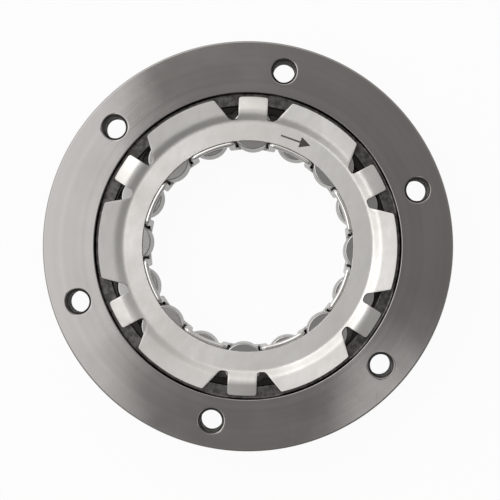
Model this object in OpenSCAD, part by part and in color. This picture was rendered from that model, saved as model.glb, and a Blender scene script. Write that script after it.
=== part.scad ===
// One-way starter clutch of a motorcycle, with its rollers, meander cage and cover plate.
// The axis is +Z with the cover plate on top. The origin is on the axis, at the rear face.
// One tab of the cover plate points to +Y.

/* [Outer ring] */
// Thickness of the bolting flange
flange_t = 12; // [8:0.5:16]
// Wall of the pilot outside the snap ring's groove
groove_wall = 2.975; // [2:0.025:4]
// Depth of the front counterbore that the cover plate lies in
counterbore_depth = 3; // [2.6:0.1:5]
// Corner radius at the foot of the counterbore
counterbore_root = 0.6; // [0.2:0.1:0.8]
// Break on the outer edges of the ring
edge_break = 0.5; // [0.2:0.1:1]

/* [Bolt holes] */
// Land from the counterbore's wall to the circle through the tapped holes
bolt_land = 7.8; // [7:0.1:9]
// Land from that circle to the outside of the flange
flange_land = 8.5; // [7:0.1:12]
// Core diameter of the tapped holes
bolt_core_d = 6.8; // [5:0.1:7]
// Width of the countersink at both ends of a tapped hole
bolt_countersink = 1.2; // [0.4:0.1:1.6]
// Clockwise turn of the holes from the tabs, in degrees
bolt_turn = 9.5; // [0:0.5:30]

/* [Rollers] */
// Diameter of the gear hub that the rollers grip
hub_d = 61.8; // [60:0.2:64]
// Diameter of a roller
roller_d = 13; // [12.6:0.1:13.2]
// Length of a roller
roller_l = 16; // [12:0.5:20]
// Break at the ends of a roller
roller_break = 0.4; // [0.2:0.1:0.8]

/* [Cam bore] */
// Slope of the ramps, in degrees
ramp_angle = 8; // [5:0.5:10]
// Turn of the cage from gripping to free, in degrees
cage_travel = 3; // [2:0.25:4]
// Depth of the ramp pockets below the lands between them
pocket_depth = 1.3; // [0.8:0.1:2]
// Step from the deepest ramp to the clearance bores in front and behind
relief_step = 0.5; // [0.3:0.1:0.8]
// Length of the clearance bore in front of the ramps
relief_l = 1.5; // [1:0.25:3]

/* [Cage] */
// Radial thickness of the cage strip
cage_t = 1.5; // [1.2:0.1:1.6]
// Width of the bridges across the roller ends
bridge_w = 2.1; // [1.6:0.1:2.6]
// Rounding along the strip's edges
strip_round = 0.5; // [0.3:0.1:0.55]
// Corner radius where a bar turns into a bridge
turn_round = 1.6; // [0.8:0.1:1.9]

/* [Cover plate] */
// Sheet thickness
sheet_t = 1; // [0.8:0.1:1.2]
// Distance from the clearance bore in to where the sheet starts to rise
rise_inset = 4.825; // [4:0.025:5.5]
// Height of the petals above the flat part of the plate
petal_rise = 1.3; // [1:0.1:1.5]
// Slope of the rise, in degrees
rise_angle = 40; // [30:1:50]
// Radius of the sheet's bends, at mid thickness
bend_r = 1.2; // [0.8:0.1:1.4]
// Width of a petal at its outer edge
petal_w = 24; // [22:0.2:25]
// Lean of a petal's sides, in degrees
petal_lean = 9; // [4:0.5:12]
// Width of a tab
tab_w = 9.2; // [8:0.1:10]
// Radius of the corners at the foot of the notches
notch_r = 1; // [0.6:0.1:1.1]
// Distance from the start of the rise out to the foot of the notches
notch_step = 0.5; // [0.2:0.05:1]
// Flat length of a petal beyond its rise
petal_flat = 5.075; // [4:0.025:6.5]
// Rounding of the outer corners of petals and tabs
corner_r = 0.8; // [0.4:0.1:1.2]

/* [Rear plate and springs] */
// Thickness of the rear plate
rear_t = 1.2; // [1:0.1:1.6]
// Thickness of the snap ring
snap_t = 1.2; // [1:0.1:1.6]
// Radial width of the snap ring
snap_w = 5.4; // [4.6:0.1:6]
// Distance of the snap ring from the rear face
snap_inset = 0.9; // [0.6:0.1:2]
// Opening between the ends of the snap ring, in degrees
snap_gap = 22; // [16:1:40]
// Swelling of the snap ring's eyes past its inner edge
snap_eye = 0.4; // [0.2:0.1:0.8]
// Diameter of the plier holes in the snap ring's eyes
snap_hole_d = 2; // [1.5:0.1:3]
// Depth of the snap ring groove below the rear bore
groove_depth = 3.3; // [3:0.1:3.6]
// Depth of the spring slots below the rear bore
slot_depth = 2.6; // [2.4:0.1:2.8]
// Width of a lug of the rear plate, in degrees
lug_angle = 6; // [5:0.5:8]
// Length of a spring between its ends, in degrees
spring_angle = 12; // [11:0.5:15]
// Thickness of the spring strip
spring_t = 0.3; // [0.2:0.05:0.4]

/* [Clearances] */
// Running clearance between a roller and its ramp
roller_fit = 0.05; // [0.03:0.01:0.1]
// Clearance between a roller and the bars beside it
window_fit = 0.035; // [0.02:0.005:0.1]
// Gap between the gear hub and the cage
cage_gap = 1.2; // [1:0.1:1.4]
// End play of a roller
roller_play = 0.25; // [0.15:0.05:0.4]
// Gap between the rear plate and what it slides on
slide_gap = 0.1; // [0.1:0.05:0.2]
// Radial gap between a plate and the bore around it
rim_gap = 0.3; // [0.2:0.05:0.4]
// Gap from the petals and tabs to the counterbore's wall
plate_gap = 1.3; // [1:0.1:2]
// Gap under the tip of a tab
tab_gap = 0.3; // [0.2:0.05:0.4]
// Gap between a lug and its stop
stop_gap = 0.3; // [0.2:0.05:0.4]
// Gap around the snap ring in its groove
groove_fit = 0.05; // [0.03:0.01:0.1]
// Gap at the ends of a spring
spring_fit = 0.1; // [0.05:0.05:0.2]

/* [Hidden] */
$fn = 96;

roller_count = 16;
tab_count = 6;
bolt_count = 6;
spring_count = 3;
roller_names = [for (i = [1 : roller_count]) str("roller_", i < 10 ? "0" : "", i)];
spring_names = [for (i = [1 : spring_count]) str("spring_", i)];
plate_names = ["front_plate", "rear_plate", "snap_ring"];

// Directions, counted counterclockwise from +X
tab_dir = 90;
roller_pitch = 360 / roller_count;
tab_pitch = 360 / tab_count;

// Heights, from the rear face up
snap_z = snap_inset;
rear_z = snap_z + snap_t + slide_gap;
rear_top = rear_z + rear_t;
rear_bore_top = rear_top + slide_gap;
front_bridge_z = rear_top + roller_l + 2 * roller_play;
cage_top = front_bridge_z + bridge_w;
sheet_z = cage_top - sheet_t;
shoulder_z = sheet_z;
relief_z = shoulder_z - relief_l;
ring_h = shoulder_z + counterbore_depth;
flange_z = ring_h - flange_t;
front_roller_z = sheet_z - (sheet_z - rear_z - bridge_w - roller_l) / 2 - roller_l;
rear_roller_z = rear_top + roller_play;

// Radii, from the axis out
roller_r = roller_d / 2;
pitch_r = hub_d / 2 + roller_r;
cage_in_r = hub_d / 2 + cage_gap;
cage_r = cage_in_r + cage_t;
land_r = pitch_r + roller_r - pocket_depth;
ramp_run = pitch_r * sin(cage_travel);
ramp_rise = ramp_run * tan(ramp_angle);
relief_r = pitch_r + roller_r + ramp_rise + roller_fit + relief_step;
slot_r = relief_r + slot_depth;
groove_r = relief_r + groove_depth;
pilot_r = groove_r + groove_wall;
rise_r = relief_r - rise_inset;
slope_l = (petal_rise - 2 * bend_r * (1 - cos(rise_angle))) / sin(rise_angle);
crest_r = rise_r + 2 * bend_r * sin(rise_angle) + slope_l * cos(rise_angle);
plate_r = crest_r + petal_flat;
counterbore_r = plate_r + plate_gap;
bolt_r = counterbore_r + bolt_land;
flange_r = bolt_r + flange_land;
rear_plate_r = relief_r - rim_gap;
snap_r = groove_r - rim_gap;
stop_angle = stop_gap / slot_r * 180 / PI;

// Amount that a cut reaches past the metal it removes
over = 1;
// Apex of a flat outline beyond the cover plate's rim
past_rim = [0, 1.2 * plate_r];

// A flat sector from angle a to angle b that reaches radius r
module sector(a, b, r) {
    far = r / cos((b - a) / 4);
    polygon([[0, 0], for (k = [0 : 2]) far * [cos(a + (b - a) * k / 2), sin(a + (b - a) * k / 2)]]);
}

// Points of an arc around c from angle a to angle b
function arc(c, r, a, b, steps) = [
    for (k = [0 : steps]) let (t = a + (b - a) * k / steps) c + r * [cos(t), sin(t)]
];

// Outline of the ring's half section, without ramps, holes and slots
module ring_section() {
    lip = edge_break / 2;
    root_centre = [counterbore_r - counterbore_root, shoulder_z + counterbore_root];
    root_arc = arc(root_centre, counterbore_root, 0, -90, 6);
    polygon(concat([
        [relief_r, 0], [pilot_r - edge_break, 0], [pilot_r, edge_break],
        [pilot_r, flange_z], [flange_r - edge_break, flange_z],
        [flange_r, flange_z + edge_break], [flange_r, ring_h - edge_break],
        [flange_r - edge_break, ring_h], [counterbore_r + lip, ring_h],
        [counterbore_r, ring_h - lip]
    ], root_arc, [
        [relief_r + lip, shoulder_z], [relief_r, shoulder_z - lip], [relief_r, relief_z],
        [land_r, relief_z], [land_r, rear_bore_top], [relief_r, rear_bore_top],
        [relief_r, snap_z + snap_t + groove_fit], [groove_r, snap_z + snap_t + groove_fit],
        [groove_r, snap_z - groove_fit], [relief_r, snap_z - groove_fit]
    ]));
}

// Pocket with its ramp: tight at the +Y place of a roller, free one ramp run towards -X
module ramp_pocket() {
    pocket_r = roller_r + roller_fit;
    translate([0, 0, rear_bore_top]) linear_extrude(relief_z - rear_bore_top)
        translate([0, pitch_r]) rotate(-ramp_angle) {
            circle(pocket_r);
            translate([-ramp_run / cos(ramp_angle), 0]) {
                circle(pocket_r);
                square([ramp_run / cos(ramp_angle), pocket_r]);
            }
        }
}

// Core hole of a thread with a countersink at each end
module tapped_hole() {
    core_r = bolt_core_d / 2;
    mouth_r = core_r + bolt_countersink;
    translate([0, 0, flange_z - over]) cylinder(h = flange_t + 2 * over, r = core_r);
    translate([0, 0, flange_z - over]) cylinder(h = over, r = mouth_r);
    translate([0, 0, flange_z]) cylinder(h = bolt_countersink, r1 = mouth_r, r2 = core_r);
    translate([0, 0, ring_h - bolt_countersink]) cylinder(h = bolt_countersink, r1 = core_r, r2 = mouth_r);
    translate([0, 0, ring_h]) cylinder(h = over, r = mouth_r);
}

// Slot in the rear bore for a lug at angle 0 and the spring beside it
module spring_slot() {
    translate([0, 0, -over]) linear_extrude(rear_bore_top + over) intersection() {
        circle(slot_r);
        sector(-lug_angle / 2 - stop_angle, lug_angle / 2 + spring_angle, slot_r + over);
    }
}

// Section of the cage strip before its windows are cut, with rounded corners
module strip_section() {
    inner = cage_in_r + strip_round;
    outer = cage_r - strip_round;
    low = rear_z + strip_round;
    high = cage_top - strip_round;
    polygon(concat(
        arc([inner, low], strip_round, 180, 270, 2), arc([outer, low], strip_round, 270, 360, 2),
        arc([outer, high], strip_round, 0, 90, 2), arc([inner, high], strip_round, 90, 180, 2)
    ));
}

// Window of the cage, seen along its radius: closed and round-cornered at 0, open and flared at h
module window_outline(h) {
    half = sqrt(pow(roller_r, 2) - pow(pitch_r - cage_r, 2)) + window_fit;
    foot = half - turn_round;
    mouth = half + turn_round;
    top = h - turn_round;
    polygon(concat(
        arc([-foot, turn_round], turn_round, 180, 270, 8), arc([foot, turn_round], turn_round, 270, 360, 8),
        arc([mouth, top], turn_round, 180, 90, 8), [[mouth, h + over], [-mouth, h + over]],
        arc([-mouth, top], turn_round, 90, 0, 8)
    ));
}

// Cuts one window through the strip at +Y
module cage_window(h) {
    rotate([90, 0, 0]) translate([0, 0, -cage_r - over]) linear_extrude(cage_t + 2 * over)
        window_outline(h);
}

// Stations [radius, height, heading] along a bend that starts at p
function bend(p, from, to, r, steps = 4) = let (s = to > from ? 1 : -1) [
    for (i = [0 : steps]) let (a = from + (to - from) * i / steps)
        [p.x + s * r * (sin(a) - sin(from)), p.y + s * r * (cos(from) - cos(a)), a]
];

// Outline of a sheet whose middle follows the stations
function sheet_outline(stations, t) = concat(
    [for (s = stations) [s.x - t / 2 * sin(s.z), s.y + t / 2 * cos(s.z)]],
    [for (i = [len(stations) - 1 : -1 : 0]) let (s = stations[i])
        [s.x + t / 2 * sin(s.z), s.y - t / 2 * cos(s.z)]]
);

// Middle of the cover plate's sheet from its bore to the top of the rise
sheet_mid = sheet_z + sheet_t / 2;
lower_bend = bend([rise_r, sheet_mid], 0, rise_angle, bend_r);
slope_top = lower_bend[len(lower_bend) - 1] + slope_l * [cos(rise_angle), sin(rise_angle), 0];
upper_bend = bend(slope_top, rise_angle, 0, bend_r);
crest = upper_bend[len(upper_bend) - 1];

// A tab falls from the crest to just above the shoulder
tab_fall = petal_rise - tab_gap;
tab_slope = atan(tab_fall / (plate_r - crest.x));
tab_bend = bend(slope_top, rise_angle, -tab_slope, bend_r, 6);
tab_end = tab_bend[len(tab_bend) - 1];
tab_run = plate_r - tab_end.x;

petal_stations = concat([[cage_r, sheet_mid, 0]], lower_bend, upper_bend, [[plate_r, crest.y, 0]]);
tab_stations = concat([[cage_r, sheet_mid, 0]], lower_bend, tab_bend,
    [[plate_r, tab_end.y - tab_run * tan(tab_slope), -tab_slope]]);

// Centre of the round where a side meets the rim. The side passes q along the unit vector u,
// and n points into the metal.
function rim_round_centre(q, u, n) = let (
    m = q + corner_r * n,
    b = m * u,
    s = -b + sqrt(b * b - m * m + pow(plate_r - corner_r, 2))
) m + s * u;

// Half outline of a petal or tab beyond its side: the round at the rim, then outside the rim
function half_outline(q, u, n) = let (
    c = rim_round_centre(q, u, n),
    a0 = atan2(-n.y, -n.x),
    a1 = atan2(c.y, c.x)
) concat([q], [for (k = [0 : 0.2 : 1]) c + corner_r * [cos(a0 + k * (a1 - a0)), sin(a0 + k * (a1 - a0))]],
    [past_rim]);

function mirrored(half) = concat(half, [for (i = [len(half) - 2 : -1 : 0]) [-half[i].x, half[i].y]]);

// Side of a petal, in the petal's own frame with its middle on +Y
petal_corner = [petal_w / 2, sqrt(plate_r * plate_r - petal_w * petal_w / 4)];
petal_side = [-sin(petal_lean), cos(petal_lean)];
petal_inward = [-cos(petal_lean), -sin(petal_lean)];

// The same side in the frame of the tab before it
function turned(v, a) = [v.x * cos(a) - v.y * sin(a), v.x * sin(a) + v.y * cos(a)];
side_point = turned([-petal_corner.x, petal_corner.y], -tab_pitch / 2);
side_dir = turned([-petal_side.x, petal_side.y], -tab_pitch / 2);
side_out = [-side_dir.y, side_dir.x];

// Centres of the two rounds at the foot of a notch: beside the tab and beside the petal
foot_r = rise_r + notch_step + notch_r;
foot_tab = [tab_w / 2 + notch_r, sqrt(pow(foot_r, 2) - pow(tab_w / 2 + notch_r, 2))];
foot_start = side_point + notch_r * side_out;
foot_b = foot_start * side_dir;
foot_run = -foot_b + sqrt(foot_b * foot_b - foot_start * foot_start + foot_r * foot_r);
foot_petal = foot_start + foot_run * side_dir;

// Everything between the petals on both sides of a tab at +Y
module tab_opening() {
    half = [
        [foot_tab.x, foot_tab.y - notch_r], foot_petal - [0, notch_r],
        foot_petal - notch_r * side_out, side_point + 2 * over * side_dir, past_rim
    ];
    for (side = [0, 1]) mirror([side, 0]) {
        polygon(concat([[0, foot_tab.y]], [[foot_tab.x, foot_tab.y]], half));
        for (c = [foot_tab, foot_petal]) translate(c) circle(notch_r, $fn = 32);
    }
}

// Petals with their rounded outer corners, as a flat outline
module petal_outline() {
    side_foot = petal_corner - 2 * (plate_r - rise_r) * petal_side;
    circle(foot_petal.y);
    for (i = [0 : tab_count - 1]) rotate((i + 0.5) * tab_pitch)
        polygon(concat([[0, 0]], mirrored(half_outline(side_foot, petal_side, petal_inward))));
}

module tab_outline() {
    polygon(mirrored(half_outline([tab_w / 2, rise_r - 2 * over], [0, 1], [-1, 0])));
}

// Flanged ring with the cam bore
module outer_ring() {
    color("dimgray") difference() {
        rotate_extrude() ring_section();
        for (i = [0 : roller_count - 1]) rotate(i * roller_pitch) ramp_pocket();
        for (i = [0 : bolt_count - 1]) rotate(tab_dir - bolt_turn + i * 360 / bolt_count)
            translate([bolt_r, 0, 0]) tapped_hole();
        for (i = [0 : spring_count - 1]) rotate(tab_dir + i * 360 / spring_count) spring_slot();
    }
}

// Meander strip: front bridges over every second roller, rear bridges over the others
module cage() {
    color("silver") difference() {
        rotate_extrude() strip_section();
        for (i = [0 : 2 : roller_count - 2]) rotate(i * roller_pitch)
            translate([0, 0, rear_z + bridge_w]) cage_window(cage_top - rear_z - bridge_w);
        for (i = [1 : 2 : roller_count - 1]) rotate(i * roller_pitch)
            translate([0, 0, front_bridge_z]) mirror([0, 0, 1]) cage_window(front_bridge_z - rear_z);
    }
}

// Stamped cover with six petals and six tabs
module front_plate() {
    color("gainsboro") {
        intersection() {
            rotate_extrude() polygon(sheet_outline(petal_stations, sheet_t));
            translate([0, 0, sheet_z - over]) linear_extrude(ring_h) difference() {
                petal_outline();
                for (i = [0 : tab_count - 1]) rotate(i * tab_pitch) tab_opening();
            }
        }
        for (i = [0 : tab_count - 1]) rotate(i * tab_pitch) intersection() {
            rotate_extrude() polygon(sheet_outline(tab_stations, sheet_t));
            translate([0, 0, sheet_z - over]) linear_extrude(ring_h) tab_outline();
        }
    }
}

// Flat ring behind the rollers with three lugs that stop the cage and press the springs
module rear_plate() {
    color("lightgray") translate([0, 0, rear_z]) linear_extrude(rear_t) difference() {
        union() {
            circle(rear_plate_r);
            for (i = [0 : spring_count - 1]) rotate(tab_dir + i * 360 / spring_count) intersection() {
                circle(slot_r - rim_gap);
                sector(-lug_angle / 2, lug_angle / 2, slot_r + over);
            }
        }
        circle(cage_r);
    }
}

// Snap ring with two eyes for the pliers
module snap_ring() {
    eye_r = snap_w / 2 + snap_eye;
    eye_mid = snap_r - eye_r - snap_eye / 2;
    eye_turn = snap_gap / 2 + eye_r / eye_mid * 180 / PI;
    color("darkslategray") translate([0, 0, snap_z]) linear_extrude(snap_t) difference() {
        union() {
            difference() {
                circle(snap_r);
                circle(snap_r - snap_w);
                rotate(-tab_dir) sector(-eye_turn, eye_turn, snap_r + 2 * over);
            }
            for (side = [-1, 1]) rotate(side * eye_turn - tab_dir)
                translate([eye_mid, 0]) circle(eye_r);
        }
        for (side = [-1, 1]) rotate(side * eye_turn - tab_dir)
            translate([eye_mid, 0]) circle(snap_hole_d / 2);
    }
}

// A roller at its gripping place: even ones start behind the plate, odd ones behind a front bridge
module roller(i) {
    z = i % 2 == 0 ? front_roller_z : rear_roller_z;
    color("slategray") rotate(i * roller_pitch) translate([0, pitch_r, z]) rotate_extrude() polygon([
        [0, 0], [roller_r - roller_break, 0], [roller_r, roller_break],
        [roller_r, roller_l - roller_break], [roller_r - roller_break, roller_l], [0, roller_l]
    ]);
}

// Folded strip spring: its folds swing between the rear plate's rim and the slot's wall
module spring(i) {
    folds = 10;
    in_r = rear_plate_r + rim_gap + spring_t;
    out_r = slot_r - rim_gap - spring_t / 2;
    start = lug_angle / 2 + spring_fit / slot_r * 180 / PI + spring_t / slot_r * 90 / PI;
    end = lug_angle / 2 + spring_angle - 2 * spring_fit / slot_r * 180 / PI;
    points = [for (k = [0 : folds])
        let (a = start + (end - start) * k / folds, r = k % 2 == 0 ? out_r : in_r) r * [cos(a), sin(a)]];
    color("silver") rotate(tab_dir + i * 360 / spring_count)
        translate([0, 0, rear_z]) linear_extrude(rear_t) {
            for (k = [0 : folds - 1]) let (d = points[k + 1] - points[k])
                translate(points[k]) rotate(atan2(d.y, d.x))
                    translate([0, -spring_t / 2]) square([norm(d), spring_t]);
            for (p = points) translate(p) circle(spring_t / 2, $fn = 16);
        }
}

outer_ring();
cage();
front_plate();
rear_plate();
snap_ring();
for (i = [0 : roller_count - 1]) roller(i);
for (i = [0 : spring_count - 1]) spring(i);
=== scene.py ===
import math

import bpy
import numpy as np
from mathutils import Matrix, Vector


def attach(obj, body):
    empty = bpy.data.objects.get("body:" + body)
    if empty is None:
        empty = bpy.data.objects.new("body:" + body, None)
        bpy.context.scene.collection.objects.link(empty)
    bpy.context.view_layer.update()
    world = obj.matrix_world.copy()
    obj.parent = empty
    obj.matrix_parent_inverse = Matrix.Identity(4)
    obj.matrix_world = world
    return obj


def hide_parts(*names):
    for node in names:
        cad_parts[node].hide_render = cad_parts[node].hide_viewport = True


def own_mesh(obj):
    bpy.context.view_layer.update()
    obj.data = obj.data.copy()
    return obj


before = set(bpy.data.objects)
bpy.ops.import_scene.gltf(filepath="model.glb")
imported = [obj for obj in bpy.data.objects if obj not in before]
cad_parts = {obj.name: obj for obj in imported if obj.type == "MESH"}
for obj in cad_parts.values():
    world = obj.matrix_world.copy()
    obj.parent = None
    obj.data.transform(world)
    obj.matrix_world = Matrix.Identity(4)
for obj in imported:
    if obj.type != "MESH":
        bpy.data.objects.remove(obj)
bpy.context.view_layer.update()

scene = bpy.context.scene
scene.view_settings.view_transform = "Standard"

# Camera. It hangs over the cover plate, a little off the axis, and is turned so that the tab
# at +Y leans to the right as in the photograph. Sizes in this file are in mm unless one says m.
mm = 0.001
camera_turn = math.radians(2.3)
camera_distance = 530
camera_aim = (0.77, -1.30)
camera_lean = (8.0, -7.0)
image_right = Vector((math.cos(camera_turn), math.sin(camera_turn), 0))
image_up = Vector((-math.sin(camera_turn), math.cos(camera_turn), 0))
aim = (camera_aim[0] * image_right + camera_aim[1] * image_up + Vector((0, 0, 24))) * mm
eye = aim + (camera_lean[0] * image_right + camera_lean[1] * image_up
             + Vector((0, 0, camera_distance))) * mm
back = (eye - aim).normalized()
side = image_up.cross(back).normalized()
camera_data = bpy.data.cameras.new("camera")
camera_data.lens = 120.65
camera_data.sensor_width = 36
camera_data.clip_start = 0.01
camera_data.clip_end = 20
camera = bpy.data.objects.new("camera", camera_data)
axes = Matrix((side, back.cross(side), back)).transposed()
camera.matrix_world = Matrix.Translation(eye) @ axes.to_4x4()
scene.collection.objects.link(camera)
scene.camera = camera


# Outer ring. A turned and hardened steel flange ring. Sixteen cam ramps are broached into its bore,
# six threaded holes bolt it to the flywheel, and the counterbore in front takes the cover plate.
flange_r, flange_z, ring_top = 65.0, 12.0, 24.0
counterbore_r, shoulder_z = 48.7, 21.0
relief_r, relief_z, rear_bore_z = 44.725, 19.5, 3.5
pilot_r, groove_r, slot_r = 51.0, 48.025, 47.325
groove_low, groove_high = 0.85, 2.15
land_r, roller_place_r, pocket_r = 42.6, 37.4, 6.55
ramp_slope, ramp_run, ramp_rise = math.radians(8), 1.957, 0.275
bolt_r, bolt_turn, thread_core_r, mouth_r = 56.5, 80.5, 3.4, 4.15
thread_pitch, thread_depth = 1.25, 0.6


def polar(r, degrees, z):
    """Points at radius r, angle and height z: x is r cos, y is r sin."""
    a = np.radians(degrees)
    r, a, z = np.broadcast_arrays(r, a, z)
    return np.stack([r * np.cos(a), r * np.sin(a), z], -1)


def grid_faces(rows, columns):
    """Four-sided faces of a grid of points, each between neighbours in i and in j."""
    n = np.arange(rows * columns).reshape(rows, columns)
    return np.stack([n[:-1, :-1], n[1:, :-1], n[1:, 1:], n[:-1, 1:]], -1).reshape(-1, 4)


def make_piece(name, grids, sharp_degrees=35):
    """One smooth mesh from grids of points in mm, or from (points, faces) pairs. A face looks
    where i cross j points. Points that meet become one, and faces that shrink to three keep three."""
    pairs = [g if isinstance(g, tuple) else (g.reshape(-1, 3), grid_faces(*g.shape[:2])) for g in grids]
    starts = np.cumsum([0] + [len(p) for p, f in pairs[:-1]])
    points = np.concatenate([p.reshape(-1, 3) for p, f in pairs])
    faces = np.concatenate([f + s for (p, f), s in zip(pairs, starts)])
    keys = np.round(points * 1000 + 0.137).astype(np.int64)
    _, first, place = np.unique(keys, axis=0, return_index=True, return_inverse=True)
    faces = place.reshape(-1)[faces]
    same = faces == np.roll(faces, -1, 1)
    triangles = faces[same.sum(1) == 1][~same[same.sum(1) == 1]].reshape(-1, 3)
    mesh = bpy.data.meshes.new(name)
    mesh.from_pydata((points[first] * mm).tolist(), [],
                     faces[same.sum(1) == 0].tolist() + triangles.tolist())
    mesh.shade_smooth()
    mesh.set_sharp_from_angle(angle=math.radians(sharp_degrees))
    piece = bpy.data.objects.new(name, mesh)
    scene.collection.objects.link(piece)
    return piece


def rounded(corner, before, after, radius, steps, support=0.03):
    """Arc of a given radius tangent to both sides of a corner, with one close point of each side
    outside it, so that the flats beside a round edge stay flat to the light."""
    c, a, b = (np.array(p, float) for p in (corner, before, after))
    a, b = (a - c) / np.linalg.norm(a - c), (b - c) / np.linalg.norm(b - c)
    half = 0.5 * math.acos(np.clip(a @ b, -1, 1))
    reach, sweep = radius / math.tan(half), math.pi - 2 * half
    middle = c + (a + b) / np.linalg.norm(a + b) * radius / math.sin(half)
    k = np.linspace(0, 1, steps + 1)[:, None]
    arc = middle + (np.sin((1 - k) * sweep) * (c + a * reach - middle)
                    + np.sin(k * sweep) * (c + b * reach - middle)) / math.sin(sweep)
    if not support:
        return arc
    return np.concatenate([[c + a * (reach + support)], arc, [c + b * (reach + support)]])


def rounded_path(corners, radii, steps, support=0.03):
    """A closed outline with every corner rounded, and for each point the number of its corner."""
    n = len(corners)
    arcs = [rounded(corners[i], corners[i - 1], corners[(i + 1) % n], radii[i], steps[i],
                    support if steps[i] > 1 else 0) for i in range(n)]
    return np.concatenate(arcs), np.repeat(np.arange(n), [len(a) for a in arcs])


def pocket_radius(degrees):
    """Distance from the axis to the bore's wall. A pocket is the space that a roller sweeps along
    its ramp: two circles and the straight ramp between them. Between pockets stands the land."""
    a = np.radians(degrees)
    x, y = -np.sin(a), np.cos(a)
    across = np.array([math.cos(ramp_slope), -math.sin(ramp_slope)])
    ways = [np.full_like(a, land_r)]
    for cx, cy in ((0, roller_place_r), (-ramp_run, roller_place_r + ramp_rise)):
        along = cx * x + cy * y
        left = pocket_r ** 2 - (cx * cx + cy * cy - along ** 2)
        ways.append(np.where(left > 0, along + np.sqrt(np.maximum(left, 0)), 0))
    nx, ny = math.sin(ramp_slope), math.cos(ramp_slope)
    ramp = (ny * roller_place_r + pocket_r) / (nx * x + ny * y)
    t = ramp * x * across[0] + (ramp * y - roller_place_r) * across[1]
    ways.append(np.where((t < 0) & (t > -ramp_run / math.cos(ramp_slope)), ramp, 0))
    return np.max(ways, 0)


ring_corners = [
    (pilot_r, flange_z), (flange_r, flange_z), (flange_r, ring_top), (counterbore_r, ring_top),
    (counterbore_r, shoulder_z), (relief_r, shoulder_z), (relief_r, relief_z),
    (relief_r - 0.5, relief_z), (relief_r - 0.5, rear_bore_z), (relief_r, rear_bore_z),
    (relief_r, groove_high), (groove_r, groove_high), (groove_r, groove_low),
    (relief_r, groove_low), (relief_r, 0), (pilot_r, 0)]
ring_radii = [0.4, 0.5, 0.5, 0.25, 0.6, 0.25, 0.15, 0.15, 0.15, 0.1, 0.1, 0.1, 0.1, 0.1, 0.25, 0.5]
ring_steps = [2, 3, 3, 3, 4, 3, 1, 1, 1, 1, 1, 1, 1, 1, 3, 3]
ring_path, ring_corner = rounded_path(ring_corners, ring_radii, ring_steps)
front_rows = np.concatenate([[63.2], np.linspace(61.9, 51.1, 13), [50.0]])
rear_rows = np.concatenate([np.linspace(51.6, 61.9, 13), [63.2]])
after_pilot = np.flatnonzero(ring_corner == 0)[-1] + 1
after_rim = np.flatnonzero(ring_corner == 2)[-1] + 1
ring_path = np.concatenate([
    ring_path[:after_pilot], np.stack([rear_rows, np.full(len(rear_rows), flange_z)], -1),
    ring_path[after_pilot:after_rim],
    np.stack([front_rows, np.full(len(front_rows), ring_top)], -1), ring_path[after_rim:],
    ring_path[:1]])
ring_corner = np.concatenate([
    ring_corner[:after_pilot], np.full(len(rear_rows), -1), ring_corner[after_pilot:after_rim],
    np.full(len(front_rows), -1), ring_corner[after_rim:], ring_corner[:1]])
rear_block, front_block = after_pilot, after_rim + len(rear_rows) + 1

columns, pitch_columns = 480, 30
even = np.arange(columns + 1) * 360 / columns
local = (np.arange(columns + 1) + pitch_columns // 2) % pitch_columns - pitch_columns // 2
land_before = math.degrees(math.acos((land_r ** 2 + roller_place_r ** 2 - pocket_r ** 2)
                                     / (2 * land_r * roller_place_r)))
end_r = math.hypot(ramp_run, roller_place_r + ramp_rise)
land_after = math.degrees(math.atan2(ramp_run, roller_place_r + ramp_rise) + math.acos(
    (land_r ** 2 + end_r ** 2 - pocket_r ** 2) / (2 * land_r * end_r)))
half_pitch = 180 / 16
in_pitch = np.interp(local, [-15, -8, 12, 15], [-half_pitch, -land_before, land_after, half_pitch])
broached = even - local * 360 / columns + in_pitch
slotted = even.copy()
slot_before, slot_after = 3.363, 15
slot_sides = (np.array([[90], [210], [330]]) + [-slot_before, slot_after]).reshape(-1)
slot_columns = np.floor(slot_sides * columns / 360).astype(int)
slotted[slot_columns], slotted[slot_columns + 1] = slot_sides - 0.02, slot_sides + 0.02
from_lug = (slotted - 90) % 120
in_slot = ((from_lug < slot_after) | (from_lug > 120 - slot_before)).astype(float)

ramp_rows, slot_rows = np.isin(ring_corner, [7, 8]), np.isin(ring_corner, [9, 10, 13, 14])
ring_angle = np.repeat(even[:, None], len(ring_path), 1)
ring_angle[:, ramp_rows], ring_angle[:, slot_rows] = broached[:, None], slotted[:, None]
ring_r = np.repeat(ring_path[None, :, 0], columns + 1, 0)
ring_r[:, ramp_rows] += (pocket_radius(in_pitch) - (relief_r - 0.5))[:, None]
ring_r[:, slot_rows] += in_slot[:, None] * (slot_r - relief_r)
ring_grid = polar(ring_r, ring_angle, ring_path[None, :, 1])

block_width, block_height, block_start, block_pitch = 16, 12, 99, columns // 6
cell = grid_faces(*ring_grid.shape[:2])
cell_column, cell_row = np.divmod(cell[:, 0], ring_grid.shape[1])
in_block = ((cell_column - block_start) % block_pitch < block_width) & (
    ((cell_row >= front_block) & (cell_row < front_block + block_height))
    | ((cell_row >= rear_block) & (cell_row < rear_block + block_height)))


def block_edge(first, outer, step):
    """Points of the ring's grid round a hole's block of cells, counterclockwise from a corner."""
    a, b = np.arange(block_width), np.arange(block_height)
    i = np.concatenate([first + a, np.full(block_height, first + block_width),
                        first + block_width - a, np.full(block_height, first)])
    j = np.concatenate([np.full(block_width, outer), outer + step * b,
                        np.full(block_width, outer + step * block_height),
                        outer + step * (block_height - b)])
    return ring_grid[np.append(i, i[0]) % columns, np.append(j, j[0])]


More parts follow.
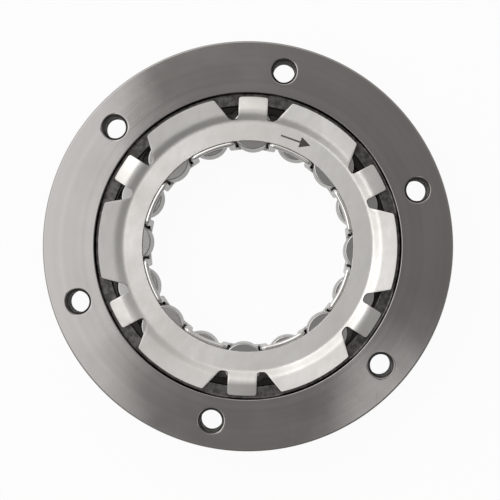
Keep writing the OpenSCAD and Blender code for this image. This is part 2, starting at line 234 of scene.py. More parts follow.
hole_z = np.concatenate([[ring_top, ring_top - 0.02, ring_top - 0.07],
                         np.linspace(ring_top - 0.12, flange_z + 0.12, 60),
                         [flange_z + 0.07, flange_z + 0.02, flange_z]])
cone = mouth_r + 0.09 - thread_core_r
hole_cone = mouth_r + 0.09 - np.interp(hole_z, [flange_z, flange_z + 0.02, flange_z + 0.07,
    flange_z + cone, ring_top - cone, ring_top - 0.07, ring_top - 0.02, ring_top],
    [0, 0.06, 0.13, cone, cone, 0.13, 0.06, 0])


def bolt_hole(number):
    """A threaded hole from the front face to the back: flat, countersink, right-handed thread
    whose groove deepens and fades over each turn, countersink, flat."""
    angle = math.radians(bolt_turn + 60 * number)
    centre = np.array([bolt_r * math.cos(angle), bolt_r * math.sin(angle), 0])
    first = block_start + block_pitch * number
    front = block_edge(first, front_block, 1)
    rear = block_edge(first, rear_block + block_height, -1)
    out = front - centre
    out[:, 2] = 0
    out /= np.linalg.norm(out, axis=1)[:, None]
    turn = np.arctan2(out[:, 1], out[:, 0]) / (2 * math.pi)
    phase = (hole_z[None, :] / thread_pitch - turn[:, None]) % 1
    groove = thread_core_r + thread_depth * np.clip(2.4 * (1 - abs(2 * phase - 1)) - 0.9, 0, 1)
    r = np.maximum(hole_cone[None, :], groove)
    wall = centre + out[:, None, :] * r[..., None] + hole_z[None, :, None] * [0, 0, 1]
    t = np.array([0, 0.5, 0.85])[None, :, None]
    lead_in = front[:, None] + (wall[:, :1] - front[:, None]) * t
    lead_out = wall[:, -1:] + (rear[:, None] - wall[:, -1:]) * (1 - t[:, ::-1])
    return np.concatenate([lead_in, wall, lead_out], 1)


ring = make_piece("ring_body", [(ring_grid.reshape(-1, 3), cell[~in_block])]
                  + [bolt_hole(k) for k in range(6)])


def steel(name, colour, roughness):
    """A metal material. Returns it with its node tree and its Principled node."""
    material = bpy.data.materials.new(name)
    material.use_nodes = True
    shader = material.node_tree.nodes["Principled BSDF"]
    shader.inputs["Base Color"].default_value = (*colour, 1)
    shader.inputs["Metallic"].default_value = 1
    shader.inputs["Roughness"].default_value = roughness
    return material, material.node_tree, shader


def add(tree, kind, links=None, **settings):
    """A node of that kind. links gives its inputs by name or number, as sockets or values."""
    node = tree.nodes.new(kind)
    for key, value in settings.items():
        setattr(node, key, value)
    for key, value in (links or {}).items():
        if isinstance(value, bpy.types.NodeSocket):
            tree.links.new(value, node.inputs[key])
        else:
            node.inputs[key].default_value = value
    return node


def effect(name, inputs, outputs):
    """An empty node group with named number inputs (a vector where the value is None)."""
    group = bpy.data.node_groups.new(name, "ShaderNodeTree")
    for key, value in inputs.items():
        kind = "NodeSocketVector" if value is None else "NodeSocketFloat"
        socket = group.interface.new_socket(key, in_out="INPUT", socket_type=kind)
        if value is not None:
            socket.default_value = value
    for key in outputs:
        group.interface.new_socket(key, in_out="OUTPUT", socket_type="NodeSocketFloat")
    return group, add(group, "NodeGroupInput").outputs, add(group, "NodeGroupOutput").inputs


# Lathe lines: noise that changes along the radius and the height but hardly round the axis.
lathe_lines, given, result = effect("lathe_lines", {"Point": None, "Fineness": 2500.0, "Length": 40.0},
                                    ["Lines", "Bands"])
split = add(lathe_lines, "ShaderNodeSeparateXYZ", {0: given["Point"]})
flat_point = add(lathe_lines, "ShaderNodeCombineXYZ", {0: split.outputs[0], 1: split.outputs[1]})
from_axis = add(lathe_lines, "ShaderNodeVectorMath", {0: flat_point.outputs[0]}, operation="LENGTH")
fine_r = add(lathe_lines, "ShaderNodeMath", {0: from_axis.outputs["Value"], 1: given["Fineness"]},
             operation="MULTIPLY")
fine_z = add(lathe_lines, "ShaderNodeMath", {0: split.outputs[2], 1: given["Fineness"]},
             operation="MULTIPLY")
round_x = add(lathe_lines, "ShaderNodeMath", {0: split.outputs[0], 1: given["Length"]},
              operation="MULTIPLY")
stretched = add(lathe_lines, "ShaderNodeCombineXYZ",
                {0: fine_r.outputs[0], 1: fine_z.outputs[0], 2: round_x.outputs[0]})
line_noise = add(lathe_lines, "ShaderNodeTexNoise",
                 {"Vector": stretched.outputs[0], "Scale": 1.0, "Detail": 3.0, "Roughness": 0.6})
band_noise = add(lathe_lines, "ShaderNodeTexNoise",
                 {"Vector": stretched.outputs[0], "Scale": 0.12, "Detail": 1.0})
lathe_lines.links.new(line_noise.outputs["Fac"], result["Lines"])
lathe_lines.links.new(band_noise.outputs["Fac"], result["Bands"])

# Handling marks: large soft blotches and sparse fine scratches, as on any metal that was held.
handling, given, result = effect("handling", {"Point": None, "Blotch": 60.0, "Scratch": 900.0},
                                 ["Blotches", "Scratches"])
blotch = add(handling, "ShaderNodeTexNoise",
             {"Vector": given["Point"], "Scale": given["Blotch"], "Detail": 4.0, "Roughness": 0.55})
tilted = add(handling, "ShaderNodeMapping",
             {0: given["Point"], "Rotation": (0.0, 0.0, 0.6), "Scale": (1.0, 0.04, 0.3)})
scratch = add(handling, "ShaderNodeTexNoise",
              {"Vector": tilted.outputs[0], "Scale": given["Scratch"], "Detail": 2.0})
scratch_line = add(handling, "ShaderNodeMapRange",
                   {0: scratch.outputs["Fac"], 1: 0.68, 2: 0.74, 3: 0.0, 4: 1.0})
handling.links.new(blotch.outputs["Fac"], result["Blotches"])
handling.links.new(scratch_line.outputs[0], result["Scratches"])

# Painted shade masks for the ring's recesses: Wall is 1 in the counterbore below the ring's front
# face, and Deep is 1 in the bore below the counterbore's shoulder and fades out towards the rear.
recess_shade, given, result = effect("recess_shade", {"Point": None}, ["Wall", "Deep"])
split = add(recess_shade, "ShaderNodeSeparateXYZ", {0: given["Point"]})
flat_point = add(recess_shade, "ShaderNodeCombineXYZ", {0: split.outputs[0], 1: split.outputs[1]})
from_axis = add(recess_shade, "ShaderNodeVectorMath", {0: flat_point.outputs[0]}, operation="LENGTH")


def fade(group, length, start, end, low, high):
    """A mask that goes from low to high while a length goes from start to end, both in mm."""
    return add(group, "ShaderNodeMapRange",
               {0: length, 1: start * mm, 2: end * mm, 3: low, 4: high}).outputs[0]


def product(group, first, second):
    """Two numbers multiplied."""
    return add(group, "ShaderNodeMath", {0: first, 1: second}, operation="MULTIPLY").outputs[0]


r, z = from_axis.outputs["Value"], split.outputs[2]
inside = fade(recess_shade, r, counterbore_r + 0.2, counterbore_r + 0.4, 1.0, 0.0)
below_face = fade(recess_shade, z, ring_top - 0.8, ring_top - 0.2, 1.0, 0.0)
above_shoulder = fade(recess_shade, z, shoulder_z - 0.7, shoulder_z - 0.2, 0.0, 1.0)
wall = product(recess_shade, product(recess_shade, inside, below_face), above_shoulder)
in_bore = fade(recess_shade, r, relief_r + 0.075, relief_r + 0.275, 1.0, 0.0)
below_shoulder = fade(recess_shade, z, shoulder_z - 0.7, shoulder_z - 0.2, 1.0, 0.0)
far_from_rear = fade(recess_shade, z, 6, 14, 0.0, 1.0)
deep = product(recess_shade, product(recess_shade, in_bore, below_shoulder), far_from_rear)
recess_shade.links.new(wall, result["Wall"])
recess_shade.links.new(deep, result["Deep"])


def finish_steel(tree, shader, base, shade, lines=None, grain=None, bump=0.1, marks=0.04, waves=0):
    """Colour, gloss and relief of a steel surface: handling marks over it, with lathe lines or a
    fine grain as its relief, and soft waves under that. shade is the colour where it has been
    touched most. Returns the node that mixes the colour."""
    point = add(tree, "ShaderNodeTexCoord").outputs["Object"]
    touched = add(tree, "ShaderNodeGroup", {}, node_tree=handling)
    tree.links.new(point, touched.inputs["Point"])
    roughness = shader.inputs["Roughness"].default_value
    if lines:
        relief = add(tree, "ShaderNodeGroup", {}, node_tree=lathe_lines)
        tree.links.new(point, relief.inputs["Point"])
        relief.inputs["Fineness"].default_value = lines
        height, tone = relief.outputs["Lines"], relief.outputs["Bands"]
    else:
        relief = add(tree, "ShaderNodeTexNoise",
                     {"Vector": point, "Scale": grain, "Detail": 5.0, "Roughness": 0.65})
        height, tone = relief.outputs["Fac"], touched.outputs["Blotches"]
    worn = add(tree, "ShaderNodeMapRange", {0: tone, 1: 0.35, 2: 0.65, 3: 0.0, 4: 1.0})
    colour = add(tree, "ShaderNodeMix", {"Factor": worn.outputs[0], "A": (*base, 1), "B": (*shade, 1)},
                 data_type="RGBA")
    tree.links.new(colour.outputs["Result"], shader.inputs["Base Color"])
    gloss = add(tree, "ShaderNodeMapRange", {0: touched.outputs["Blotches"], 1: 0.3, 2: 0.7,
                                             3: roughness - marks, 4: roughness + marks})
    scuffed = add(tree, "ShaderNodeMath", {0: touched.outputs["Scratches"], 1: 0.02,
                                           2: gloss.outputs[0]}, operation="MULTIPLY_ADD")
    tree.links.new(scuffed.outputs[0], shader.inputs["Roughness"])
    raised = add(tree, "ShaderNodeBump", {"Height": height, "Strength": bump, "Distance": 0.00002})
    if waves:
        swell = add(tree, "ShaderNodeTexNoise", {"Vector": point, "Scale": 260.0, "Detail": 2.0})
        under = add(tree, "ShaderNodeBump",
                    {"Height": swell.outputs["Fac"], "Strength": waves, "Distance": 0.0003})
        tree.links.new(under.outputs[0], raised.inputs["Normal"])
    tree.links.new(raised.outputs[0], shader.inputs["Normal"])
    return colour


ring_steel, tree, shader = steel("turned_steel", (0.45, 0.44, 0.43), 0.125)
shader.inputs["Anisotropic"].default_value = 0.3
unshaded_tone = finish_steel(tree, shader, (0.45, 0.43, 0.42), (0.415, 0.398, 0.388), lines=3200.0,
                     bump=0.15)
# Painted shade: the counterbore wall below the front face is darkened unevenly, and the bore below the
# shoulder is darkened further. The wall is also made rougher.
point = add(tree, "ShaderNodeTexCoord").outputs["Object"]
deep = add(tree, "ShaderNodeGroup", {}, node_tree=recess_shade)
tree.links.new(point, deep.inputs["Point"])
shade_mottle = add(tree, "ShaderNodeTexNoise", {"Vector": point, "Scale": 700.0, "Detail": 4.0})
uneven_shade = add(tree, "ShaderNodeMapRange",
             {0: shade_mottle.outputs["Fac"], 1: 0.4, 2: 0.62, 3: 0.78, 4: 1.0})
wall_shade_amount = product(tree, deep.outputs["Wall"], uneven_shade.outputs[0])
shaded = add(tree, "ShaderNodeMix", {"Factor": wall_shade_amount, "A": unshaded_tone.outputs["Result"],
                                    "B": (0.075, 0.072, 0.068, 1)}, data_type="RGBA")
# Painted shade: the bore below the shoulder goes nearly black, fading out towards the rear.
black = add(tree, "ShaderNodeMix", {"Factor": deep.outputs["Deep"], "A": shaded.outputs["Result"],
                                    "B": (0.045, 0.043, 0.04, 1)}, data_type="RGBA")
tree.links.new(black.outputs["Result"], shader.inputs["Base Color"])
smooth = shader.inputs["Roughness"].links[0].from_socket
rougher = add(tree, "ShaderNodeMath", {0: deep.outputs["Wall"], 1: 0.22, 2: smooth},
              operation="MULTIPLY_ADD")
tree.links.new(rougher.outputs[0], shader.inputs["Roughness"])
# The bolt holes get a much darker steel over their threads and countersinks: painted shade inside the
# holes, which also dulls the countersinks' highlight.
thread_steel, tree, shader = steel("shaded_thread_steel", (0.16, 0.155, 0.15), 0.30)
finish_steel(tree, shader, (0.16, 0.155, 0.15), (0.10, 0.096, 0.092), grain=3000.0, bump=0.3)
ring.data.materials.append(ring_steel)
ring.data.materials.append(thread_steel)
centres = np.empty(3 * len(ring.data.polygons))
ring.data.polygons.foreach_get("center", centres)
centres = centres.reshape(-1, 3) / mm
hole_angle = np.radians(bolt_turn + 60 * np.arange(6))
from_hole = np.min(np.hypot(centres[:, :1] - bolt_r * np.cos(hole_angle),
                            centres[:, 1:2] - bolt_r * np.sin(hole_angle)), 1)
# Faces inside the holes, countersinks included, take the dark steel as painted shade.
in_wall = (centres[:, 2] < ring_top - 0.05) & (centres[:, 2] > flange_z + 0.05)
threaded = in_wall & (from_hole < mouth_r + 0.05)
ring.data.polygons.foreach_set("material_index", threaded.astype(np.int32))
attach(ring, "ring")
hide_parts("outer_ring")


# Cage. A spring-hard steel strip formed into a meander and closed to a ring. It goes up beside one
# roller, over the next as a front bridge, down again, and under the one after that. half_chord is
# half the width of a roller's window at the strip's middle.
cage_mid_r, cage_thick, cage_soft = 32.85, 1.5, 0.68
cage_low, cage_high, bridge, cage_turn_r = 2.2, 22.0, 2.1, 1.6
half_chord = 5.3085
pitch_length = 2 * math.pi * cage_mid_r / 16
window_half = cage_mid_r * math.asin(half_chord / cage_mid_r)


def meander_side(x, low, high):
    """One edge of the strip from the middle of a rear bridge to the middle of a front one, on the
    unrolled cylinder: level, quarter turn up, straight up at x, quarter turn, level."""
    t = np.linspace(0, 1, 9)[:, None]
    up, over = np.radians(-90 + 90 * t), np.radians(180 - 90 * t)
    bend_low = np.hstack([x - cage_turn_r + cage_turn_r * np.cos(up),
                          low + cage_turn_r + cage_turn_r * np.sin(up)])
    bend_high = np.hstack([x + cage_turn_r + cage_turn_r * np.cos(over),
                           high - cage_turn_r + cage_turn_r * np.sin(over)])
    rise = bend_low[-1] + (bend_high[0] - bend_low[-1]) * t[1:-1]
    start, end = np.array([0, low]), np.array([pitch_length, high])
    return np.concatenate([start + (bend_low[0] - start) * t[:-1], bend_low, rise, bend_high,
                           bend_high[-1] + (end - bend_high[-1]) * t[1:]])


inner_edge = meander_side(window_half, cage_low + bridge, cage_high)
outer_edge = meander_side(pitch_length - window_half, cage_low, cage_high - bridge)
ends = np.array([[2 * pitch_length, 0]]), np.array([[-1, 1]])
upper = np.concatenate([inner_edge, ends[0] + ends[1] * inner_edge[-2:0:-1]])
lower = np.concatenate([outer_edge, ends[0] + ends[1] * outer_edge[-2:0:-1]])
shifts = 2 * pitch_length * np.arange(8)[:, None, None] * np.array([1, 0])
upper = (upper + shifts).reshape(-1, 2)
lower = (lower + shifts).reshape(-1, 2)
upper, lower = np.concatenate([upper, upper[:1]]), np.concatenate([lower, lower[:1]])
strip_half = np.linalg.norm(upper - lower, axis=1)[:, None] / 2
across = (upper - lower) / (2 * strip_half)
round_angle = np.radians(np.array([180, 157.5, 135, 112.5, 90, 90, 67.5, 45, 22.5, 0,
                                   0, -22.5, -45, -67.5, -90, -90, -112.5, -135, -157.5, -180, 180]))
flat_side = np.repeat([[-1, 1], [1, 1], [1, -1], [-1, -1], [-1, 1]], [5, 5, 5, 5, 1], axis=0)
reach_q = flat_side[None, :, 0] * (strip_half - cage_soft) + cage_soft * np.cos(round_angle)
reach_b = flat_side[:, 1] * (cage_thick / 2 - cage_soft) + cage_soft * np.sin(round_angle)
strip_mid = (upper + lower) / 2
strip_xz = strip_mid[:, None] + across[:, None] * reach_q[..., None]
cage_grid = polar(cage_mid_r + reach_b[None, :], 90 + np.degrees(strip_xz[..., 0] / cage_mid_r),
                  strip_xz[..., 1])
cage = make_piece("cage_strip", [cage_grid], 50)
cage_steel, tree, shader = steel("formed_strip_steel", (0.90, 0.89, 0.87), 0.16)
finish_steel(tree, shader, (0.90, 0.89, 0.87), (0.81, 0.80, 0.78), grain=1500.0, bump=0.12)
cage.data.materials.append(cage_steel)
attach(cage, "cage")
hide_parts("cage")


# Cover plate. A steel stamping with a round bore, six petals over the ring's shoulder and six
# tabs between them. Its edges are tumbled smooth, and it is pressed onto the front of the cage.
plate_in_r, plate_r, sheet, sheet_mid = 33.6, 47.4, 1.0, 21.5
rise_r, bend_r, crest_bend_r, rise_slope, petal_rise = 39.32, 3.0, 3.7, math.radians(23), 1.1
petal_set = math.radians(7)
tab_half, tab_drop = 4.6, 1.0
petal_half, petal_lean = 12.0, math.radians(12)
foot_r, foot_round, petal_foot_round, outer_round = 40.388, 1.0, 1.8, 0.8


def bend_curve(start, slope_a, slope_b, radius, steps=10):
    """Points along an arc of the sheet's middle from one slope to another."""
    a = np.linspace(slope_a, slope_b, steps + 1)
    s = 1 if slope_b > slope_a else -1
    return np.stack([start[0] + s * radius * (np.sin(a) - math.sin(slope_a)),
                     start[1] + s * radius * (math.cos(slope_a) - np.cos(a))], -1)


slope_run = (petal_rise - (bend_r + crest_bend_r) * (1 - math.cos(rise_slope))) / math.tan(rise_slope)
low_bend = bend_curve((rise_r, sheet_mid), 0, rise_slope, bend_r)
top_of_slope = low_bend[-1] + [slope_run, slope_run * math.tan(rise_slope)]
petal_bend = bend_curve(top_of_slope, rise_slope, petal_set, crest_bend_r)
petal_far_z = petal_bend[-1, 1] + (60 - petal_bend[-1, 0]) * math.tan(petal_set)
fall = math.atan(tab_drop / (plate_r - petal_bend[-1, 0]))
tab_bend = bend_curve(top_of_slope, rise_slope, -fall, crest_bend_r, 14)
tab_end_z = tab_bend[-1, 1] - (plate_r - tab_bend[-1, 0]) * math.tan(fall)
petal_curve = np.concatenate([[[0, sheet_mid]], low_bend, petal_bend, [[60, petal_far_z]]])
tab_curve = np.concatenate([[[0, sheet_mid]], low_bend, tab_bend, [[plate_r, tab_end_z]]])


def lift(flat, curve):
    """Puts flat points on the sheet's middle: the height follows the distance from the axis."""
    r = np.hypot(flat[..., 0], flat[..., 1])
    return np.concatenate([flat, np.interp(r, curve[:, 0], curve[:, 1])[..., None]], -1)


def blend_patch(bottom, top, left, right):
    """Points between four edge curves. Each is the sum of the two straight blends between
    opposite edges, less the blend of the four corners."""
    u = np.linspace(0, 1, len(bottom))[:, None, None]
    v = np.linspace(0, 1, len(left))[None, :, None]
    corners = ((1 - u) * (1 - v) * bottom[0] + u * (1 - v) * bottom[-1]
               + (1 - u) * v * top[0] + u * v * top[-1])
    return ((1 - v) * bottom[:, None] + v * top[:, None] + (1 - u) * left[None] + u * right[None]
            - corners)


def arc_points(centre, radius, start, end, count):
    """Points of an arc from one angle to another, in radians."""
    a = np.linspace(start, end, count)
    return np.array(centre) + radius * np.stack([np.cos(a), np.sin(a)], -1)


def turn_flat(flat, degrees):
    """Flat points turned counterclockwise about the axis."""
    c, s = math.cos(math.radians(degrees)), math.sin(math.radians(degrees))
    return flat @ np.array([[c, s], [-s, c]])


# Half a sector, from the middle of a tab at +Y clockwise to the middle of a petal.
petal_middle = -30
lean_way = turn_flat(np.array([math.sin(petal_lean), math.cos(petal_lean)]), petal_middle)
petal_tip = turn_flat(np.array([-petal_half, math.sqrt(plate_r ** 2 - petal_half ** 2)]), petal_middle)
to_notch = np.array([-lean_way[1], lean_way[0]])
tab_round = np.array([tab_half + foot_round,
                      math.sqrt((foot_r + foot_round) ** 2 - (tab_half + foot_round) ** 2)])
line_start = petal_tip + petal_foot_round * to_notch
along = line_start @ lean_way
run = -along + math.sqrt(along ** 2 - line_start @ line_start + (foot_r + petal_foot_round) ** 2)
petal_round = line_start + run * lean_way
tab_out = math.atan2(-tab_round[1], -tab_round[0])
petal_out = math.atan2(-petal_round[1], -petal_round[0])
notch = np.concatenate([
    arc_points(tab_round, foot_round, -math.pi, tab_out, 7),
    arc_points((0, 0), foot_r, tab_out + math.pi, petal_out + math.pi, 5)[1:-1],
    arc_points(petal_round, petal_foot_round, petal_out, math.atan2(-to_notch[1], -to_notch[0]), 9)])
tab_columns, petal_columns = 7, 13
tab_base = arc_points((0, 0), np.hypot(*notch[0]), math.pi / 2, math.atan2(*notch[0][::-1]),
                      tab_columns)
axis_way = turn_flat(np.array([0, 1.0]), petal_middle)
petal_base = arc_points((0, 0), np.hypot(*notch[-1]), math.atan2(*notch[-1][::-1]), math.pi / 3,
                        petal_columns)
base = np.concatenate([tab_base[:-1], notch, petal_base[1:]])
base_r, base_angle = np.hypot(*base.T), np.degrees(np.arctan2(base[:, 1], base[:, 0]))
inner_angle = np.linspace(90, 60, len(base))
t = np.array([[0, 0.02, 0.25, 0.5, 0.75, 0.93]])
flat_r = plate_in_r + (rise_r - plate_in_r) * t
bend_start = rise_r - 0.08
u = np.linspace(0, 1, 13)[None, :]
skirt_r = np.concatenate([np.repeat(flat_r, len(base), 0),
                          bend_start + (base_r[:, None] - bend_start) * u], 1)
mix = np.clip((skirt_r - 37) / (base_r[:, None] - 37), 0, 1)
skirt_angle = inner_angle[:, None] + (base_angle - inner_angle)[:, None] * mix
skirt = polar(skirt_r, skirt_angle, 0)[..., :2]

rows_out = np.concatenate([np.linspace(0, 0.62, 15), [0.74, 0.84, 0.92, 0.975, 1]])


def tongue(base_line, side_corner, side_way, inward, middle_end):
    """Flat points of half a petal or tab beyond its base: the side runs straight, turns over a
    small round at the rim, and the rim goes on to the middle."""
    q = side_corner + outer_round * inward
    b = q @ side_way
    centre = q + (-b + math.sqrt(b * b - q @ q + (plate_r - outer_round) ** 2)) * side_way
    a0, a1 = math.atan2(-inward[1], -inward[0]), math.atan2(centre[1], centre[0])
    a1 = a0 + (a1 - a0 + math.pi) % (2 * math.pi) - math.pi
    round_rim = arc_points(centre, outer_round, a0, a1, 9)
    side_line = base_line[0] + (round_rim[0] - base_line[0]) * (rows_out[:-5] / rows_out[-6])[:, None]
    side_curve = np.concatenate([side_line, round_rim[1:6]])
    m0, m1 = math.atan2(*round_rim[-1][::-1]), math.atan2(*middle_end[::-1])
    rim = arc_points((0, 0), plate_r, m0, m1, len(base_line) - 3)
    top_curve = np.concatenate([round_rim[5:8], rim])
    middle_line = base_line[-1] + (middle_end - base_line[-1]) * rows_out[:, None]
    return blend_patch(base_line, top_curve, side_curve, middle_line)


tab_patch = tongue(tab_base[::-1], np.array([tab_half, rise_r]), np.array([0, 1.0]),
                   np.array([-1.0, 0]), np.array([0, plate_r]))
petal_patch = tongue(petal_base, petal_tip - 3 * lean_way, lean_way, -to_notch, axis_way * plate_r)
half_grids = [lift(skirt, petal_curve), lift(tab_patch, tab_curve)[::-1],
              lift(petal_patch, petal_curve)]
plate_grids = []
for k in range(6):
    for grid in half_grids:
        for mirror in (1, -1):
            spun = grid * [mirror, 1, 1]
            spun = np.concatenate([turn_flat(spun[..., :2], 60 * k), spun[..., 2:]], -1)
            plate_grids.append(spun[::mirror])
plate = make_piece("cover_plate", plate_grids, 60)
thick = plate.modifiers.new("sheet", "SOLIDIFY")
thick.thickness, thick.offset, thick.use_even_offset = sheet * mm, 0, True
tumbled = plate.modifiers.new("tumbled_edges", "BEVEL")
tumbled.width, tumbled.segments, tumbled.limit_method = 0.16 * mm, 3, "ANGLE"
tumbled.angle_limit = math.radians(50)
even_light = plate.modifiers.new("flat_faces", "WEIGHTED_NORMAL")
even_light.keep_sharp = False
plate_steel, tree, shader = steel("tumbled_sheet_steel", (0.84, 0.825, 0.80), 0.42)
finish_steel(tree, shader, (0.89, 0.875, 0.85), (0.77, 0.75, 0.725), grain=2200.0, bump=0.6,
             marks=0.06, waves=0.22)
plate.data.materials.append(plate_steel)
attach(plate, "cage")
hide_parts("front_plate")


# Arrow. A small dark mark etched on the plate's flat part. It lies a hundredth of a millimetre
# proud of the sheet.
arrow_middle, arrow_way = 67.8, math.radians(-17.4)
arrow_length, shaft_half, head_length, head_half = 10.0, 0.26, 3.5, 1.75
arrow_place = polar(36.8, arrow_middle, 0)[:2]
arrow_corners = [(-arrow_length / 2, -shaft_half), (arrow_length / 2 - head_length, -shaft_half),
                 (arrow_length / 2 - head_length, -head_half), (arrow_length / 2, 0),
                 (arrow_length / 2 - head_length, head_half),
                 (arrow_length / 2 - head_length, shaft_half), (-arrow_length / 2, shaft_half)]
arrow_flat = rounded_path(arrow_corners, [0.1, 0.08, 0.12, 0.15, 0.12, 0.08, 0.1], [2] * 7, 0)[0]
arrow_flat = arrow_place + turn_flat(arrow_flat, math.degrees(arrow_way))
n = len(arrow_flat)
arrow_points = np.concatenate([np.column_stack([arrow_flat, np.full(n, z)]) for z in (21.98, 22.012)])
arrow_mesh = bpy.data.meshes.new("turn_arrow")
around = np.arange(n)
walls = np.stack([around, (around + 1) % n, (around + 1) % n + n, around + n], -1).tolist()
arrow_mesh.from_pydata((arrow_points * mm).tolist(), [],
                       walls + [around[::-1].tolist(), (around + n).tolist()])
arrow = bpy.data.objects.new("turn_arrow", arrow_mesh)
scene.collection.objects.link(arrow)
etched, tree, shader = steel("etched_mark", (0.09, 0.085, 0.078), 0.6)
shader.inputs["Metallic"].default_value = 0.5
finish_steel(tree, shader, (0.085, 0.08, 0.072), (0.12, 0.115, 0.105), grain=5000.0, bump=0.6)
arrow_mesh.materials.append(etched)
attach(arrow, "cage")


# Rollers. Sixteen hardened and ground steel rollers, one in each window of the cage. Every second
# one stands a little further forward, because its bridge is behind it.
roller_r, roller_length, roller_edge, roller_crown = 6.5, 16.0, 0.42, 0.004
front_start, rear_start = 4.65, 3.65
roller_corners = [(roller_r, 0), (roller_r, roller_length)]
end_low = rounded(roller_corners[0], (0, 0), roller_corners[1], roller_edge, 5)
end_high = rounded(roller_corners[1], roller_corners[0], (0, roller_length), roller_edge, 5)
barrel = np.stack([roller_r + roller_crown * np.array([0.6, 1, 0.6]), np.array([4.0, 8.0, 12.0])], -1)
roller_path = np.concatenate([[[0, 0], [2.5, 0], [5.0, 0]], end_low, barrel, end_high,
                              [[5.0, roller_length], [2.5, roller_length], [0, roller_length]]])
roller_steel, tree, shader = steel("ground_roller_steel", (0.57, 0.56, 0.55), 0.16)
finish_steel(tree, shader, (0.59, 0.58, 0.57), (0.52, 0.51, 0.50), grain=4000.0, bump=0.15, marks=0.03)
round_roller = np.arange(73) * 5
for i in range(16):
    rest = front_start if i % 2 == 0 else rear_start
    place = polar(roller_place_r, 90 + 360 / 16 * i, rest)
    grid = place + polar(roller_path[None, :, 0], round_roller[:, None], roller_path[None, :, 1])
    name = "roller_%02d" % (i + 1)
    roller = make_piece(name + "_ground", [grid])
    roller.data.materials.append(roller_steel)
    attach(roller, name)
    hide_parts(name)


# Rear plate and snap ring. Flat stampings behind the rollers. The plate turns with the cage, with
# its lugs in the ring's slots, and the snap ring in its groove holds it in.
def dress_flat(node, material, edge):
    """Gives a flat solid its finish and softly broken edges."""
    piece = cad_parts[node]
    piece.data.materials.clear()
    piece.data.materials.append(material)
    joined = piece.modifiers.new("joined", "WELD")
    joined.merge_threshold = 0.000002
    broken = piece.modifiers.new("broken_edges", "BEVEL")
    broken.width, broken.segments, broken.limit_method = edge * mm, 2, "ANGLE"
    broken.angle_limit = math.radians(50)
    level = piece.modifiers.new("flat_faces", "WEIGHTED_NORMAL")
    level.keep_sharp = False


rear_steel, tree, shader = steel("stamped_rear_steel", (0.60, 0.59, 0.57), 0.38)
finish_steel(tree, shader, (0.62, 0.61, 0.59), (0.55, 0.54, 0.52), grain=2200.0, bump=0.4)
dress_flat("rear_plate", rear_steel, 0.12)
snap_steel, tree, shader = steel("blackened_spring_steel", (0.10, 0.10, 0.105), 0.40)
finish_steel(tree, shader, (0.10, 0.10, 0.105), (0.16, 0.155, 0.15), grain=1800.0, bump=0.4)
dress_flat("snap_ring", snap_steel, 0.12)


# Springs. A strip of bright spring steel, folded in soft waves between the rear plate's rim and the
# slot's wall. The lug presses it together towards the far end of its slot as the cage turns.
spring_first, spring_last, spring_mid_r, spring_swing = 3.3, 14.76, 45.95, 0.925
spring_half, spring_low, spring_high, spring_kept = 0.15, 2.2, 3.4, 0.735
wave_t = np.linspace(0, 1, 241)
wave_a = np.radians(90 + spring_first + (spring_last - spring_first) * wave_t)
wave_r = spring_mid_r + spring_swing * np.cos(10 * math.pi * wave_t)
wave = np.stack([wave_r * np.cos(wave_a), wave_r * np.sin(wave_a)], -1)
wave_way = np.gradient(wave, axis=0)
across_wave = np.stack([-wave_way[:, 1], wave_way[:, 0]], -1)
across_wave /= np.linalg.norm(wave_way, axis=1)[:, None]
folded_steel, tree, shader = steel("bright_spring_steel", (0.70, 0.69, 0.66), 0.25)
finish_steel(tree, shader, (0.72, 0.71, 0.68), (0.62, 0.61, 0.58), grain=3000.0, bump=0.2)
for k in (1, 2, 3):
    outline = []
    for way_out, z in ((1, spring_low), (-1, spring_low), (-1, spring_high), (1, spring_high),
                       (1, spring_low)):
        flat = turn_flat(wave + spring_half * way_out * across_wave, 120 * (k - 1))
        outline.append(np.column_stack([flat, np.full(len(flat), z)]))
    strip = np.stack(outline, 1)
    caps = [np.stack([[strip[i, 0], strip[i, 3]], [strip[i, 1], strip[i, 2]]])[::s]
            for i, s in ((0, 1), (-1, -1))]
    spring = make_piece("spring_%d_folded" % k, [strip] + caps)
    spring.data.materials.append(folded_steel)
    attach(spring, "ring")
    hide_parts("spring_%d" % k)
    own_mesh(spring)


# Floor, sky and lamps. A white board under the part, and a studio whose light comes from the upper
# left and that is dimmer low down, towards -Y and straight overhead, with an even rim of light at
# the horizon. A large card hangs to the left of the camera and a smaller one at the lower right.
floor_size, floor_gap = 4.0, 0.0001
bpy.ops.mesh.primitive_plane_add(size=floor_size, location=(0, 0, -floor_gap))
floor = bpy.context.object
floor.name = "floor"
board = bpy.data.materials.new("white_board")
board.use_nodes = True
tree = board.node_tree
shader = tree.nodes["Principled BSDF"]
shader.inputs["Base Color"].default_value = (0.86, 0.86, 0.86, 1)
shader.inputs["Roughness"].default_value = 0.9
glow = add(tree, "ShaderNodeEmission", {"Color": (1, 1, 1, 1), "Strength": 1.0})
path = add(tree, "ShaderNodeLightPath")
seen = add(tree, "ShaderNodeMath", {0: path.outputs["Is Camera Ray"],
                                    1: path.outputs["Is Transmission Ray"]}, operation="MAXIMUM")
straight = product(tree, seen.outputs[0], 0.95)
mirrored = product(tree, path.outputs["Is Glossy Ray"], 0.3)
share = add(tree, "ShaderNodeMath", {0: straight, 1: mirrored}, operation="MAXIMUM")
mixed = add(tree, "ShaderNodeMixShader",
            {0: share.outputs[0], 1: shader.outputs[0], 2: glow.outputs[0]})
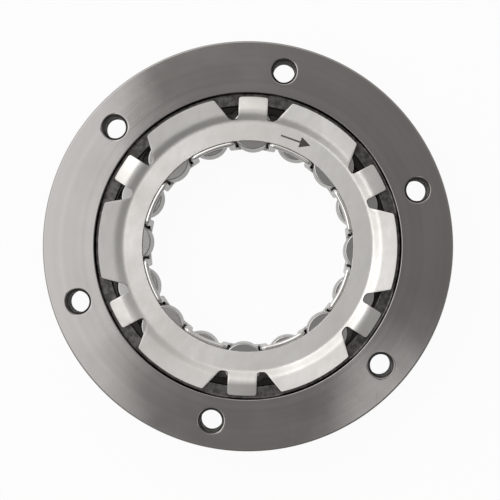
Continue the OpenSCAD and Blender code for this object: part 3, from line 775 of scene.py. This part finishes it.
tree.links.new(mixed.outputs[0], tree.nodes["Material Output"].inputs["Surface"])
floor.data.materials.append(board)

world = bpy.data.worlds.new("studio")
scene.world = world
world.use_nodes = True
tree = world.node_tree
sky = tree.nodes["Background"]
way = add(tree, "ShaderNodeTexCoord").outputs["Generated"]
_, y, z = add(tree, "ShaderNodeSeparateXYZ", {0: way}).outputs
light_side = polar(1.3, 147, 0)
toward = add(tree, "ShaderNodeVectorMath", {0: way, 1: light_side.tolist()}, operation="DOT_PRODUCT")
gain = add(tree, "ShaderNodeMath", {0: toward.outputs["Value"]}, operation="EXPONENT")
low = add(tree, "ShaderNodeMapRange", {0: z, 1: 0.65, 2: 0.84, 3: 0.28, 4: 0.80})
overhead = add(tree, "ShaderNodeMapRange", {0: z, 1: 0.88, 2: 0.978, 3: 1.0, 4: 0.37},
               interpolation_type="SMOOTHSTEP")
front = add(tree, "ShaderNodeMapRange", {0: y, 1: -0.7, 2: -0.2, 3: 0.42, 4: 1.0})
level = product(tree, product(tree, low.outputs[0], overhead.outputs[0]), front.outputs[0])
rim = add(tree, "ShaderNodeMapRange", {0: z, 1: 0.12, 2: 0.5, 3: 0.45, 4: 0.0})
total = add(tree, "ShaderNodeMath", {0: product(tree, level, gain.outputs[0]), 1: rim.outputs[0]})
tree.links.new(total.outputs[0], sky.inputs["Strength"])
sky.inputs["Color"].default_value = (1.0, 0.99, 0.975, 1)


def card(name, place, aim_at, size, power):
    """A flat lamp: place and aim in metres, size in metres, power in watts."""
    data = bpy.data.lights.new(name, "AREA")
    data.shape, data.size, data.size_y, data.energy = "RECTANGLE", size[0], size[1], power
    lamp = bpy.data.objects.new(name, data)
    lamp.location = place
    lamp.rotation_euler = (Vector(aim_at) - Vector(place)).to_track_quat("-Z", "Y").to_euler()
    scene.collection.objects.link(lamp)


card("left_card", (-0.216, 0.08, 0.56), (-0.216, 0.08, 0), (0.26, 0.44), 0.325)
card("lower_right_card", (0.082, -0.135, 0.56), (0.082, -0.135, 0), (0.05, 0.16), 0.016)
